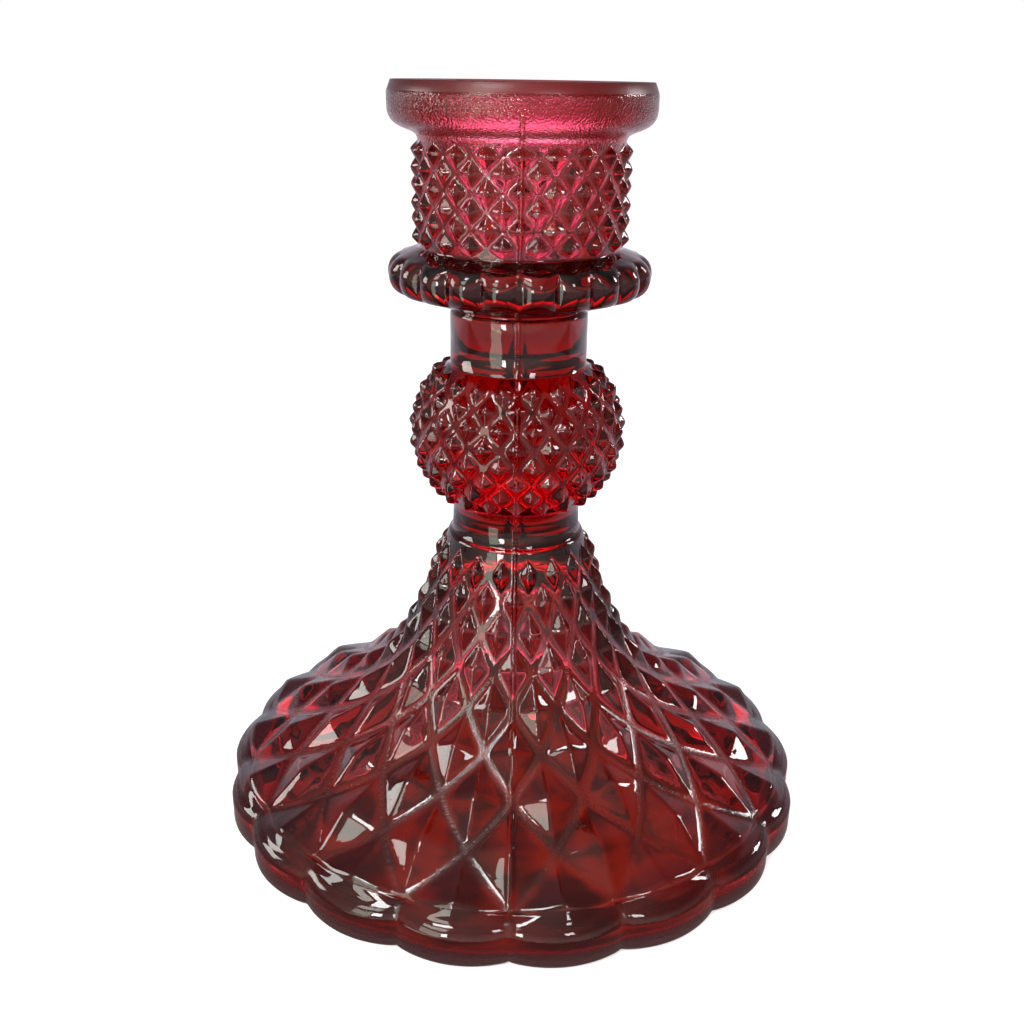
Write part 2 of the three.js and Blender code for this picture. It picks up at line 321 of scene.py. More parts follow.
# %% [markdown]
# ## The cup
# A straight cylinder with seven half-rows of diamonds. They keep their pitch, and the two rows at the
# edges are cut short, as the mould maker did to fit the height.
# %% The cup's diamonds
CUP_TOP, CUP_ROWS, CUP_PITCH, CUP_STEPS = 108.3, 7, 2.45, 5
CUP_RELIEF, CUP_STRIP = 1.1, 0.21

cut = (CUP_TOP - CUP_BASE - (CUP_ROWS - 2) * CUP_PITCH) / 2
row_heights = [CUP_BASE] + [CUP_BASE + cut + n * CUP_PITCH for n in range(CUP_ROWS - 1)] + [CUP_TOP]
for step in range(CUP_ROWS * CUP_STEPS + 1):
    row = step / CUP_STEPS
    height = float(np.interp(row, range(CUP_ROWS + 1), row_heights))
    station((CUP_RADIUS, height), STEM_DIAMONDS, row, CUP_RELIEF, 0, CUP_ROWS, strip=CUP_STRIP)
print("edge rows cut to", round(cut, 2), "mm")

# %% [markdown]
# ## The rim and the socket
# Above the cup the glass swells to a plain rim with a bevelled lip. Smooth shading would round its
# corners off, so a station stands close to each corner on both sides and holds it crisp.
# %% The rim and the lip
RIM_RADIUS, RIM_BASE, RIM_TOP, LIP_TOP, LIP_INSET = 19.5, 112.5, 114.6, 116.2, 0.6
SWELL_LOW_HANDLE, SWELL_HIGH_HANDLE = 0.38, 0.79
RIM_HOLDS, LIP_HOLD, LIP_FLAT_RADIUS = (0.3, 0.06), 0.08, 15.5
BEVEL_STEPS = 20

swell = Bezier(
    (CUP_RADIUS, CUP_TOP),
    (CUP_RADIUS, CUP_TOP + SWELL_LOW_HANDLE * (RIM_BASE - CUP_TOP)),
    (RIM_RADIUS, RIM_BASE - SWELL_HIGH_HANDLE * (RIM_BASE - CUP_TOP)),
    (RIM_RADIUS, RIM_BASE),
)
for share in np.linspace(0.1, 1, 10):
    station(tuple(swell.along(share)))
for hold in RIM_HOLDS:
    station((RIM_RADIUS, RIM_TOP - hold))
bevel = line((RIM_RADIUS, RIM_TOP), (RIM_RADIUS - LIP_INSET, LIP_TOP), BEVEL_STEPS)
for place in [bevel[0], bevel[-2]]:
    station(place)
station((RIM_RADIUS - LIP_INSET - LIP_HOLD, LIP_TOP))
station((LIP_FLAT_RADIUS, LIP_TOP))
print("stick", LIP_TOP, "mm high, rim", 2 * RIM_RADIUS, "mm across")

# %% [markdown]
# The bore takes a taper candle of 22 mm. It narrows a little downwards, so that the plunger came out
# of the hot glass. Its depth is a guess, as the photo doesn't show its floor.
# %% The socket bore
BORE_RADIUS, BORE_DRAFT, BORE_FLOOR, BORE_ROUND = 11.45, 0.3, 92.2, 0.8
BORE_FLOOR_RING = 5

mouth_middle = (BORE_RADIUS + BORE_ROUND, LIP_TOP - BORE_ROUND)
floor_radius = BORE_RADIUS - BORE_DRAFT
floor_middle = (floor_radius - BORE_ROUND, BORE_FLOOR + BORE_ROUND)
bore = arc(mouth_middle, -BORE_ROUND, BORE_ROUND, 90, 0, 4)
bore += line((BORE_RADIUS, LIP_TOP - BORE_ROUND), (floor_radius, BORE_FLOOR + BORE_ROUND), 4)
bore += arc(floor_middle, BORE_ROUND, -BORE_ROUND, 30, 90, 3)
bore += [(BORE_FLOOR_RING, BORE_FLOOR), (0, BORE_FLOOR)]
for place in bore:
    station(place)
print(len(stations), "stations in all")

# %% [markdown]
# The outline becomes a string of loose points, and the pattern goes with it as named attributes, three
# numbers to a vector. "Outwards" is square to the outline, because a mould presses its pattern so.
# %% The profile as a mesh with attributes
MM_PER_M = 1000
places = np.array([s["place"] for s in stations]) / MM_PER_M
steps = np.zeros_like(places)
steps[1:-1] = places[2:] - places[:-2]
steps[0], steps[-1] = (1, 0), (-1, 0)
steps /= np.linalg.norm(steps, axis=1)[:, None]

profile_mesh = bpy.data.meshes.new("profile")
profile_mesh.from_pydata([(r, 0, z) for r, z in places], [], [])
profile = bpy.data.objects.new("profile", profile_mesh)
bpy.context.scene.collection.objects.link(profile)


def note(name, columns):
    """Stores three numbers for each station on the profile."""
    layer = profile_mesh.attributes.new(name, "FLOAT_VECTOR", "POINT")
    layer.data.foreach_set("vector", np.array(columns, np.float32).ravel())
    print("noted", name)


note("outwards", [(z, 0, -r) for r, z in steps])
note("diamonds", [(s["diamonds"], s["row"], s["relief"] / MM_PER_M) for s in stations])
note("band", [(s["first"], s["last"], s["strip"]) for s in stations])
note("lobes", [(s["lobes"], s["depth"] / MM_PER_M, 0) for s in stations])

# %% [markdown]
# ## Small helpers for node trees
# Node trees are long, so one function adds a node, sets it up and links it. Colours are written as sRGB
# hex, as a colour picker shows them, and another function turns them to the linear values that Blender
# works in.
# %% Adding a node, and reading a colour
MATH, VECTOR_MATH = "ShaderNodeMath", "ShaderNodeVectorMath"
MAP_RANGE, MIX = "ShaderNodeMapRange", "ShaderNodeMix"


def hex_colour(text, brightness=1.0):
    """An sRGB colour such as 8c1a20 as linear values, times a brightness."""
    values = [int(text[i : i + 2], 16) / 255 for i in (0, 2, 4)]
    linear = [v / 12.92 if v <= 0.04045 else ((v + 0.055) / 1.055) ** 2.4 for v in values]
    return [brightness * v for v in linear] + [1]


def add_node(tree, kind, inputs=(), **settings):
    """Adds a node. inputs gives its sockets in order, or by name or number, and each is a value or the
    socket that feeds it."""
    node = tree.nodes.new(kind)
    for name, value in settings.items():
        setattr(node, name, value)
    sockets = inputs if isinstance(inputs, dict) else dict(enumerate(inputs))
    for name, value in sockets.items():
        if isinstance(value, bpy.types.NodeSocket):
            tree.links.new(value, node.inputs[name])
        else:
            node.inputs[name].default_value = value
    return node


print("middle grey is", round(hex_colour("808080")[0], 3))

# %% [markdown]
# ## The tree that presses the glass
# It lays out a flat grid, one row to a station, and moves every point of it to its place round the
# axis. The columns crowd together towards the front, where the camera is.
#
# Where a point falls inside a diamond comes from two slanted coordinates. Along each of them the
# diamonds repeat once a unit, so the distance to the nearest whole number says how far the point is
# from the diamond's tip. That is why no diamond is ever drawn: one formula makes them all.
# %% The tree's inputs
press = bpy.data.node_groups.new("spin_and_press", "GeometryNodeTree")
press.interface.new_socket("Profile", in_out="INPUT", socket_type="NodeSocketGeometry")
press.interface.new_socket("Pressed glass", in_out="OUTPUT", socket_type="NodeSocketGeometry")
PRESS_INPUTS = {
    "Columns": ("NodeSocketInt", 360),
    "Crowding": ("NodeSocketFloat", 0.35),
    "Valley strip": ("NodeSocketFloat", 1.0),
    "Rounding": ("NodeSocketFloat", 0.2),
    "Lobe fullness": ("NodeSocketFloat", 0.75),
    "Seam height": ("NodeSocketFloat", 0.0004),
    "Seam width": ("NodeSocketFloat", 0.00026),
    "Seam foot": ("NodeSocketFloat", 0.0012),
    "Seam head": ("NodeSocketFloat", 0.1115),
    "Glass": ("NodeSocketMaterial", None),
}
socket_ids = {}
for name, (kind, value) in PRESS_INPUTS.items():
    socket = press.interface.new_socket(name, in_out="INPUT", socket_type=kind)
    socket_ids[name] = socket.identifier
print("inputs", list(socket_ids))

# %% A flat grid, one row to a station
source = press.nodes.new("NodeGroupInput").outputs
stations_in = add_node(press, "GeometryNodeAttributeDomainSize", {"Geometry": source["Profile"]}).outputs[0]
last_station = add_node(press, MATH, (stations_in, 1), operation="SUBTRACT").outputs[0]
points_across = add_node(press, MATH, (source["Columns"], 1), operation="ADD").outputs[0]
grid = add_node(press, "GeometryNodeMeshGrid", {
    "Size X": source["Columns"],
    "Size Y": last_station,
    "Vertices X": points_across,
    "Vertices Y": stations_in,
}).outputs["Mesh"]
print(PRESS_INPUTS["Columns"][1], "columns by", len(stations), "stations")

# %% The station and the angle of each grid point
position = add_node(press, "GeometryNodeInputPosition").outputs[0]
flat = add_node(press, "ShaderNodeSeparateXYZ", (position,)).outputs
half_up = add_node(press, MATH, (last_station, 2), operation="DIVIDE").outputs[0]
upwards = add_node(press, MATH, (flat["Y"], half_up), operation="ADD").outputs[0]
station_number = add_node(press, MATH, (upwards,), operation="ROUND").outputs[0]

half_across = add_node(press, MATH, (source["Columns"], 2), operation="DIVIDE").outputs[0]
column = add_node(press, MATH, (flat["X"], half_across), operation="ADD").outputs[0]
even_step = add_node(press, MATH, (2 * math.pi, source["Columns"]), operation="DIVIDE").outputs[0]
even_angle = add_node(press, MATH, (column, even_step), operation="MULTIPLY").outputs[0]
sine = add_node(press, MATH, (even_angle,), operation="SINE").outputs[0]
shift = add_node(press, MATH, (sine, source["Crowding"]), operation="MULTIPLY").outputs[0]
angle = add_node(press, MATH, (even_angle, shift), operation="SUBTRACT").outputs[0]
print(len(press.nodes), "nodes up to the angle")


# %% Reading the profile for every point of the grid
def of_station(value):
    """Three numbers of the profile, read at the station of each grid point."""
    sample = add_node(press, "GeometryNodeSampleIndex", {
        "Geometry": source["Profile"], "Value": value, "Index": station_number,
    }, data_type="FLOAT_VECTOR")
    return add_node(press, "ShaderNodeSeparateXYZ", (sample.outputs[0],)).outputs


def noted(name):
    """A named attribute of the profile."""
    node = add_node(press, "GeometryNodeInputNamedAttribute", {"Name": name}, data_type="FLOAT_VECTOR")
    return of_station(node.outputs[0])


outline = of_station(position)
outwards = noted("outwards")
diamonds, half_row, full_relief = noted("diamonds")
first_row, last_row, strip_share = noted("band")
lobes, lobe_depth = noted("lobes")[:2]
print(len(press.nodes), "nodes up to the pattern")

# %% How far each point is from the tip of its diamond
turned = add_node(press, MATH, (angle, diamonds), operation="MULTIPLY").outputs[0]
half_diamonds = add_node(press, MATH, (turned, math.pi), operation="DIVIDE").outputs[0]
risen = add_node(press, MATH, (half_diamonds, half_row), operation="ADD").outputs[0]
slant_up = add_node(press, MATH, (risen, 2), operation="DIVIDE").outputs[0]
sunk = add_node(press, MATH, (half_diamonds, half_row), operation="SUBTRACT").outputs[0]
slant_down = add_node(press, MATH, (sunk, 2), operation="DIVIDE").outputs[0]

tip_up = add_node(press, MATH, (slant_up,), operation="ROUND").outputs[0]
tip_down = add_node(press, MATH, (slant_down,), operation="ROUND").outputs[0]
miss_up = add_node(press, MATH, (slant_up, tip_up), operation="SUBTRACT").outputs[0]
miss_down = add_node(press, MATH, (slant_down, tip_down), operation="SUBTRACT").outputs[0]
far_up = add_node(press, MATH, (miss_up,), operation="ABSOLUTE").outputs[0]
far_down = add_node(press, MATH, (miss_down,), operation="ABSOLUTE").outputs[0]
print(len(press.nodes), "nodes up to the distances")

# %% [markdown]
# The bigger of the two distances makes a four-sided pyramid. Fire polish has softened its tip and its
# ridges, and small diamonds more than big ones, so the rounding grows as the ring gets smaller.
# %% A pyramid with soft ridges and a blunt tip
MIDDLING_RADIUS, SMALLEST_RADIUS = 0.016, 0.008
ROUNDING_GROWTH, RIDGE_SOFTNESS = 1.6, 0.5

wide = add_node(press, MATH, (outline["X"], SMALLEST_RADIUS), operation="MAXIMUM").outputs[0]
slimness = add_node(press, MATH, (MIDDLING_RADIUS, wide), operation="DIVIDE").outputs[0]
growth = add_node(press, MATH, (slimness, ROUNDING_GROWTH), operation="POWER").outputs[0]
rounding = add_node(press, MATH, (growth, source["Rounding"]), operation="MULTIPLY").outputs[0]
soft_ridge = add_node(press, MATH, (rounding, RIDGE_SOFTNESS), operation="MULTIPLY").outputs[0]
from_tip = add_node(press, MATH, (far_up, far_down, soft_ridge), operation="SMOOTH_MAX").outputs[0]
to_corner = add_node(press, MATH, (from_tip, 2), operation="MULTIPLY").outputs[0]


def blunt(distance):
    """A distance whose sharp start is rounded off."""
    square = add_node(press, MATH, (distance, distance), operation="MULTIPLY").outputs[0]
    round_square = add_node(press, MATH, (rounding, rounding), operation="MULTIPLY").outputs[0]
    total = add_node(press, MATH, (square, round_square), operation="ADD").outputs[0]
    return add_node(press, MATH, (total,), operation="SQRT").outputs[0]


corner_level = blunt(1)
full_height = add_node(press, MATH, (corner_level, blunt(0)), operation="SUBTRACT").outputs[0]
own_height = add_node(press, MATH, (corner_level, blunt(to_corner)), operation="SUBTRACT").outputs[0]
pyramid = add_node(press, MATH, (own_height, full_height), operation="DIVIDE").outputs[0]
print("rounding", PRESS_INPUTS["Rounding"][1], "at a radius of", MIDDLING_RADIUS, "m")

# %% [markdown]
# The diamonds don't touch. The mould maker left flat strips between them, so the pyramid is cut off at
# the strip's level and the rest is stretched to full height. Where there are no diamonds at all, a
# point counts as being above the strips, so that the glass there stays polished.
# %% The flat strips between the diamonds
VALLEY_SOFTNESS = 0.6
strip = add_node(press, MATH, (strip_share, source["Valley strip"]), operation="MULTIPLY").outputs[0]
above_strip = add_node(press, MATH, (pyramid, strip), operation="SUBTRACT").outputs[0]
left_over = add_node(press, MATH, (1, strip), operation="SUBTRACT").outputs[0]
face = add_node(press, MATH, (above_strip, left_over), operation="DIVIDE").outputs[0]
soft_valley = add_node(press, MATH, (rounding, VALLEY_SOFTNESS), operation="MULTIPLY").outputs[0]
soft_face = add_node(press, MATH, (face, 0.0, soft_valley), operation="SMOOTH_MAX").outputs[0]
no_diamonds = add_node(press, MATH, (diamonds, 1), operation="LESS_THAN").outputs[0]
above_valley = add_node(press, MATH, (face, no_diamonds), operation="ADD").outputs[0]
print("strips from", KNOP_STRIP, "to", FLARE_TOP_STRIP, "of a diamond's half-width")

# %% [markdown]
# By its formula the pattern would never end. So a diamond only stands out if its middle lies inside the
# band of rows, which ends the pattern in whole diamonds, as the mould did.
# %% Only whole diamonds stand out
tip_row = add_node(press, MATH, (tip_up, tip_down), operation="SUBTRACT").outputs[0]
above_first = add_node(press, MATH, (tip_row, first_row), operation="GREATER_THAN").outputs[0]
below_last = add_node(press, MATH, (tip_row, last_row), operation="LESS_THAN").outputs[0]
whole = add_node(press, MATH, (above_first, below_last), operation="MULTIPLY").outputs[0]
shown = add_node(press, MATH, (soft_face, whole), operation="MULTIPLY").outputs[0]
relief = add_node(press, MATH, (shown, full_relief), operation="MULTIPLY").outputs[0]
print(len(press.nodes), "nodes with the diamonds")

# %% [markdown]
# The lobes are a sine whose lower half is folded up, so that its zeros become the sharp notches. A
# power below one makes the lobes fuller.
# %% The scalloped edges
lobes_turned = add_node(press, MATH, (angle, lobes), operation="MULTIPLY").outputs[0]
half_waves = add_node(press, MATH, (lobes_turned, 0.5), operation="MULTIPLY").outputs[0]
wave = add_node(press, MATH, (half_waves,), operation="SINE").outputs[0]
folded = add_node(press, MATH, (wave,), operation="ABSOLUTE").outputs[0]
fuller = add_node(press, MATH, (folded, source["Lobe fullness"]), operation="POWER").outputs[0]
cut_in = add_node(press, MATH, (1, fuller), operation="SUBTRACT").outputs[0]
notch = add_node(press, MATH, (cut_in, lobe_depth), operation="MULTIPLY").outputs[0]
print("notches", LOBE_DEPTH, "mm deep on the foot,", COLLAR_LOBE_DEPTH, "mm on the collar")

# %% [markdown]
# The mould had two halves, and each joint left a fine raised line, at the front and at the back. It
# runs only where the halves touched, so not under the foot, on the rim or in the bore.
# %% The two seams
FACING_OUT = 0.35
side_step = add_node(press, MATH, (angle,), operation="SINE").outputs[0]
from_seam = add_node(press, MATH, (side_step, outline["X"]), operation="MULTIPLY").outputs[0]
in_widths = add_node(press, MATH, (from_seam, source["Seam width"]), operation="DIVIDE").outputs[0]
squared = add_node(press, MATH, (in_widths, in_widths), operation="MULTIPLY").outputs[0]
falling = add_node(press, MATH, (squared, -1), operation="MULTIPLY").outputs[0]
ridge = add_node(press, MATH, (falling,), operation="EXPONENT").outputs[0]

outside = add_node(press, MATH, (outwards["X"], FACING_OUT), operation="GREATER_THAN").outputs[0]
above_foot = add_node(press, MATH, (outline["Z"], source["Seam foot"]), operation="GREATER_THAN").outputs[0]
below_head = add_node(press, MATH, (outline["Z"], source["Seam head"]), operation="LESS_THAN").outputs[0]
between = add_node(press, MATH, (above_foot, below_head), operation="MULTIPLY").outputs[0]
on_mould = add_node(press, MATH, (outside, between), operation="MULTIPLY").outputs[0]
raised = add_node(press, MATH, (ridge, source["Seam height"]), operation="MULTIPLY").outputs[0]
seam = add_node(press, MATH, (raised, on_mould), operation="MULTIPLY").outputs[0]
print("seams", MM_PER_M * PRESS_INPUTS["Seam height"][1], "mm high")

# %% Every grid point to its place
lift = add_node(press, MATH, (relief, seam), operation="ADD").outputs[0]
lift_out = add_node(press, MATH, (lift, outwards["X"]), operation="MULTIPLY").outputs[0]
lift_up = add_node(press, MATH, (lift, outwards["Z"]), operation="MULTIPLY").outputs[0]
full_radius = add_node(press, MATH, (outline["X"], lift_out), operation="ADD").outputs[0]
radius = add_node(press, MATH, (full_radius, notch), operation="SUBTRACT").outputs[0]
height = add_node(press, MATH, (outline["Z"], lift_up), operation="ADD").outputs[0]
cosine = add_node(press, MATH, (angle,), operation="COSINE").outputs[0]
to_right = add_node(press, MATH, (radius, side_step), operation="MULTIPLY").outputs[0]
to_front = add_node(press, MATH, (radius, cosine), operation="MULTIPLY").outputs[0]
to_back = add_node(press, MATH, (to_front, -1), operation="MULTIPLY").outputs[0]
place = add_node(press, "ShaderNodeCombineXYZ", (to_right, to_back, height)).outputs[0]
print(len(press.nodes), "nodes up to the place")

# %% One closed, smooth skin, and a mark for the strips
MERGE_DISTANCE = 2e-6
marked = add_node(press, "GeometryNodeStoreNamedAttribute", {
    "Geometry": grid, "Name": "above_valley", "Value": above_valley,
}, data_type="FLOAT", domain="POINT").outputs[0]
spun = add_node(press, "GeometryNodeSetPosition", {"Geometry": marked, "Position": place}).outputs[0]
closed = add_node(press, "GeometryNodeMergeByDistance", {
    "Geometry": spun, "Distance": MERGE_DISTANCE,
}).outputs[0]
smooth = add_node(press, "GeometryNodeSetShadeSmooth", {"Geometry": closed}).outputs[0]
real = add_node(press, "GeometryNodeRealizeInstances", {"Geometry": smooth}).outputs[0]
glazed = add_node(press, "GeometryNodeSetMaterial", {
    "Geometry": real, "Material": source["Glass"],
}).outputs[0]
add_node(press, "NodeGroupOutput", {"Pressed glass": glazed})
print(len(press.nodes), "nodes in the tree")

# %% [markdown]
# ## Ruby glass
# Soda-lime glass that is coloured right through. It bends light with an index of 1.52, and takes out
# green and blue within a few millimetres, so thin places glow pink and thick ones go nearly black. A
# red surface could not do that, as it would look the same at the lip and in the stem. So the surface
# has hardly any colour, and the red is lost along the way through the glass.
# %% Where on the stick a point lies
ruby = bpy.data.materials.new("ruby_pressed_glass")
ruby.use_nodes = True
glass = ruby.node_tree
glass.nodes.clear()
in_stick = add_node(glass, "ShaderNodeTexCoord").outputs["Object"]
above_table = add_node(glass, "ShaderNodeSeparateXYZ", (in_stick,)).outputs["Z"]
print("material", ruby.name)

# %% [markdown]
# Fire has polished most of it. But the ring that it stands on was ground flat, the outside of the rim
# is pebbled like orange peel, and the bevel is matt. Paint-on masks could tell these places apart, but
# each is a ring, so its height is enough. A Map Range takes the value, the two ends of its range, and
# what it gives at each end. Heights are in metres.
# %% How rough each ring of the stick is
POLISHED, GROUND_FLAT, PEBBLED, BEVELLED = 0.015, 0.45, 0.16, 0.36
STANDING_ZONE, RIM_ZONE = (0.0003, 0.0008), (0.1075, 0.1087)
LIP_ZONE, LIP_PEBBLES = (0.1144, 0.1148), 0.1
BEVEL_ZONE = (0.1146, 0.1149)

foot_roughness = add_node(glass, MAP_RANGE, (above_table, *STANDING_ZONE, GROUND_FLAT, POLISHED)).outputs[0]
on_rim = add_node(glass, MAP_RANGE, (above_table, *RIM_ZONE)).outputs[0]
below_lip = add_node(glass, MAP_RANGE, (above_table, *LIP_ZONE, 1.0, LIP_PEBBLES)).outputs[0]
frost = add_node(glass, MATH, (on_rim, below_lip), operation="MULTIPLY").outputs[0]
rim_roughness = add_node(glass, MAP_RANGE, (frost, 0, 1, foot_roughness, PEBBLED)).outputs[0]
on_bevel = add_node(glass, MAP_RANGE, (above_table, *BEVEL_ZONE)).outputs[0]
ring_roughness = add_node(glass, MAP_RANGE, (on_bevel, 0, 1, rim_roughness, BEVELLED)).outputs[0]
print("roughness from", POLISHED, "to", GROUND_FLAT)

# %% [markdown]
# Low on the flare the strips between the diamonds are matt too. Their place follows the pattern and not
# the height, so it is read from the mark that the tree has left on each point.
# %% The matt strips low on the flare
STRIP_MATT, FLARE_FADE, STRIP_EDGE = 0.28, (0.016, 0.034), (-0.09, 0.06)

low_on_flare = add_node(glass, MAP_RANGE, (above_table, *FLARE_FADE, 1.0, 0.0)).outputs[0]
over_valley = add_node(glass, "ShaderNodeAttribute", attribute_name="above_valley").outputs["Fac"]
in_strip = add_node(glass, MAP_RANGE, (over_valley, *STRIP_EDGE, 1.0, 0.0)).outputs[0]
matt_strip = add_node(glass, MATH, (in_strip, low_on_flare), operation="MULTIPLY").outputs[0]
roughness = add_node(glass, MAP_RANGE, (matt_strip, 0, 1, ring_roughness, STRIP_MATT)).outputs[0]
print("strips matt up to", FLARE_FADE[1], "m")

# %% [markdown]
# Pressed glass is never quite flat. Slow waves, left by the cooling mould, run over all of it and bend
# the highlights, and fine pebbles cover the rim and the matt strips. They are a bump and not mesh,
# because they are too shallow to change the outline.
# %% Waves and pebbles
WAVE_SIZE, PEBBLE_SIZE = 6.25, 0.294118
WAVE_DETAIL, STRIP_PEBBLES, PEBBLE_HEIGHT = 2.0, 0.35, 0.9
BUMP_HEIGHT, BUMP_STRENGTH = 0.00025, 0.6

waves = add_node(glass, "ShaderNodeTexNoise", {
    "Vector": in_stick, "Scale": MM_PER_M / WAVE_SIZE, "Detail": WAVE_DETAIL,
}).outputs[0]
pebbles = add_node(glass, "ShaderNodeTexNoise", {
    "Vector": in_stick, "Scale": MM_PER_M / PEBBLE_SIZE, "Detail": 0.0,
}).outputs[0]
pebbled = add_node(glass, MATH, (matt_strip, STRIP_PEBBLES, frost), operation="MULTIPLY_ADD").outputs[0]
grain = add_node(glass, MATH, (pebbles, pebbled), operation="MULTIPLY").outputs[0]
skin_height = add_node(glass, MATH, (grain, PEBBLE_HEIGHT, waves), operation="MULTIPLY_ADD").outputs[0]
bump = add_node(glass, "ShaderNodeBump", {
    "Height": skin_height, "Distance": BUMP_HEIGHT, "Strength": BUMP_STRENGTH,
}).outputs[0]
print("waves", WAVE_SIZE, "mm, pebbles", round(PEBBLE_SIZE, 2), "mm")

# %% The glass put together
SURFACE, RUBY, RUBY_DENSITY = "fff4f2", "f25f7d", 285.0
GLASS_INDEX = 1.52

# Fire-polished soda-lime glass has sharp highlights. Its colour lies in the volume, so a lobe's edge
# is pink and the stem's middle nearly black.
surface = add_node(glass, "ShaderNodeBsdfPrincipled", {
    "Base Color": hex_colour(SURFACE),
    "Roughness": roughness,
    "IOR": GLASS_INDEX,
    "Transmission Weight": 1.0,
    "Normal": bump,
}).outputs[0]
inside = add_node(glass, "ShaderNodeVolumeAbsorption", (hex_colour(RUBY), RUBY_DENSITY)).outputs[0]
add_node(glass, "ShaderNodeOutputMaterial", {"Surface": surface, "Volume": inside})
print(len(glass.nodes), "nodes in the glass")

# %% [markdown]
# ## The stick in one piece
# The real stick left its mould as a single piece of glass, so here too it is one closed skin. The tree
# runs once on the profile, and what it makes is copied to a plain mesh. The tree could stay live on
# the object, but a plain mesh can be measured, and a library part shouldn't depend on it.
# %% The profile is spun
modifier = profile.modifiers.new("press", "NODES")
modifier.node_group = press
for name, (kind, value) in PRESS_INPUTS.items():
    modifier[socket_ids[name]] = ruby if name == "Glass" else value
evaluated = profile.evaluated_get(bpy.context.evaluated_depsgraph_get())
stick_mesh = bpy.data.meshes.new_from_object(evaluated)
stick_mesh.name = "ruby_candlestick"
stick = bpy.data.objects.new("ruby_candlestick", stick_mesh)
bpy.context.scene.collection.objects.link(stick)
profile.modifiers.clear()
bpy.data.objects.remove(profile)
print("stick spun")

# %% [markdown]
# Volume colour only works in a skin without holes whose faces look outwards. Both are checked here,
# and faces that look inwards are turned.
# %% The skin is checked
shape = bmesh.new()
shape.from_mesh(stick_mesh)
if shape.calc_volume(signed=True) < 0:
    bmesh.ops.reverse_faces(shape, faces=shape.faces)
shape.to_mesh(stick_mesh)
open_edges = sum(1 for e in shape.edges if not e.is_manifold)
print("stick", len(shape.verts), "points,", len(shape.faces), "faces,", open_edges, "open edges")
print("glass volume", round(shape.calc_volume(signed=True) * 1e6, 1), "cm3")
shape.free()

# %% The stick takes the CAD part's place
stick_mesh.materials.clear()
stick_mesh.materials.append(ruby)
stick_mesh.polygons.foreach_set("material_index", [0] * len(stick_mesh.polygons))
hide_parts("glass_body")
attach(stick, "root")
print(stick.name, "made of", ruby.name)

# %% [markdown]
# ## The white card
# The stick stands on matt white card. A strong lamp could make it white, but it would also light the
# glass. So the card glows a little by itself, and the glow fades under the foot, where a soft shadow
# is left.
# %% The card as the camera sees it
CARD_SIZE, CARD_WHITE = 8, "d8d8d8"
SHADOW_EDGE, CARD_GLOW = (0.042, 0.0485), 0.62

bpy.ops.mesh.primitive_plane_add(size=CARD_SIZE, location=(0, 0, 0))
card = bpy.context.object
card.name = "white_card"

# White card is matt, so it mirrors nothing and its shadow has a soft edge.
white_card = bpy.data.materials.new("white_card")
white_card.use_nodes = True
paper = white_card.node_tree
paper.nodes.clear()
card.data.materials.append(white_card)
on_card = add_node(paper, "ShaderNodeTexCoord").outputs["Object"]
from_axis = add_node(paper, VECTOR_MATH, (on_card,), operation="LENGTH").outputs["Value"]
glow = add_node(paper, MAP_RANGE, (from_axis, *SHADOW_EDGE, 0.0, CARD_GLOW)).outputs[0]
matt = add_node(paper, "ShaderNodeBsdfDiffuse", {"Color": hex_colour(CARD_WHITE)}).outputs[0]
lit = add_node(paper, "ShaderNodeEmission", (hex_colour("ffffff"), glow)).outputs[0]
white = add_node(paper, "ShaderNodeAddShader", (matt, lit)).outputs[0]
print("card", CARD_SIZE, "m wide")

# %% [markdown]
# Through the glass the card isn't white. Under the foot it is a painted red shadow, with brighter
# painted patches where the diamonds gather light. In front of the foot and at its sides it is painted
# deep shade, behind it warm, and farther off it takes the room's own tones. This light and shade could
# be traced, but gathered light needs very many samples, so it is painted on the card, and only rays
# that come through the glass see it.
# %% The card as it shows through the glass
UNDER_FOOT_SHADOW, UNDER_FOOT_LIT, BESIDE_FOOT_SHADE = "45271d", "86381d", "291f19"
WARM, COOL, FAR_OFF = "c8894b", "9e8e7e", "816c69"
FOOT_BAND, WARM_BAND, COOL_BAND, FAR_BAND = (0.036, 0.044), (0.06, 0.09), (0.12, 0.2), (0.3, 0.45)
PATCH_SIZE, PATCH_DETAIL, PATCH_BAND = 11.7647, 2.0, (0.42, 0.58)


def blend(tree, value, band, near, far):
    """A colour that goes over from near to far while value crosses the band."""
    share = add_node(tree, MAP_RANGE, (value, *band)).outputs[0]
    return add_node(tree, MIX, {0: share, 6: near, 7: far}, data_type="RGBA").outputs[2]


backwards = add_node(paper, "ShaderNodeSeparateXYZ", (on_card,)).outputs["Y"]
patches = add_node(paper, "ShaderNodeTexNoise", {
    "Vector": on_card, "Scale": MM_PER_M / PATCH_SIZE, "Detail": PATCH_DETAIL,
}).outputs[0]
# Painted shadow under the foot, with painted patches of gathered light, and painted shade near the foot in
# front and at the sides.
dark, bright = hex_colour(UNDER_FOOT_SHADOW), hex_colour(UNDER_FOOT_LIT)
shadow_under_foot = blend(paper, patches, PATCH_BAND, dark, bright)
tabletop = blend(paper, backwards, WARM_BAND, hex_colour(BESIDE_FOOT_SHADE), hex_colour(WARM))
tabletop = blend(paper, from_axis, COOL_BAND, tabletop, hex_colour(COOL))
tabletop = blend(paper, from_axis, FAR_BAND, tabletop, hex_colour(FAR_OFF))
tabletop = blend(paper, from_axis, FOOT_BAND, shadow_under_foot, tabletop)
through_glass = add_node(paper, "ShaderNodeEmission", (tabletop, 1.0)).outputs[0]
print("patches", round(PATCH_SIZE), "mm wide under the foot")
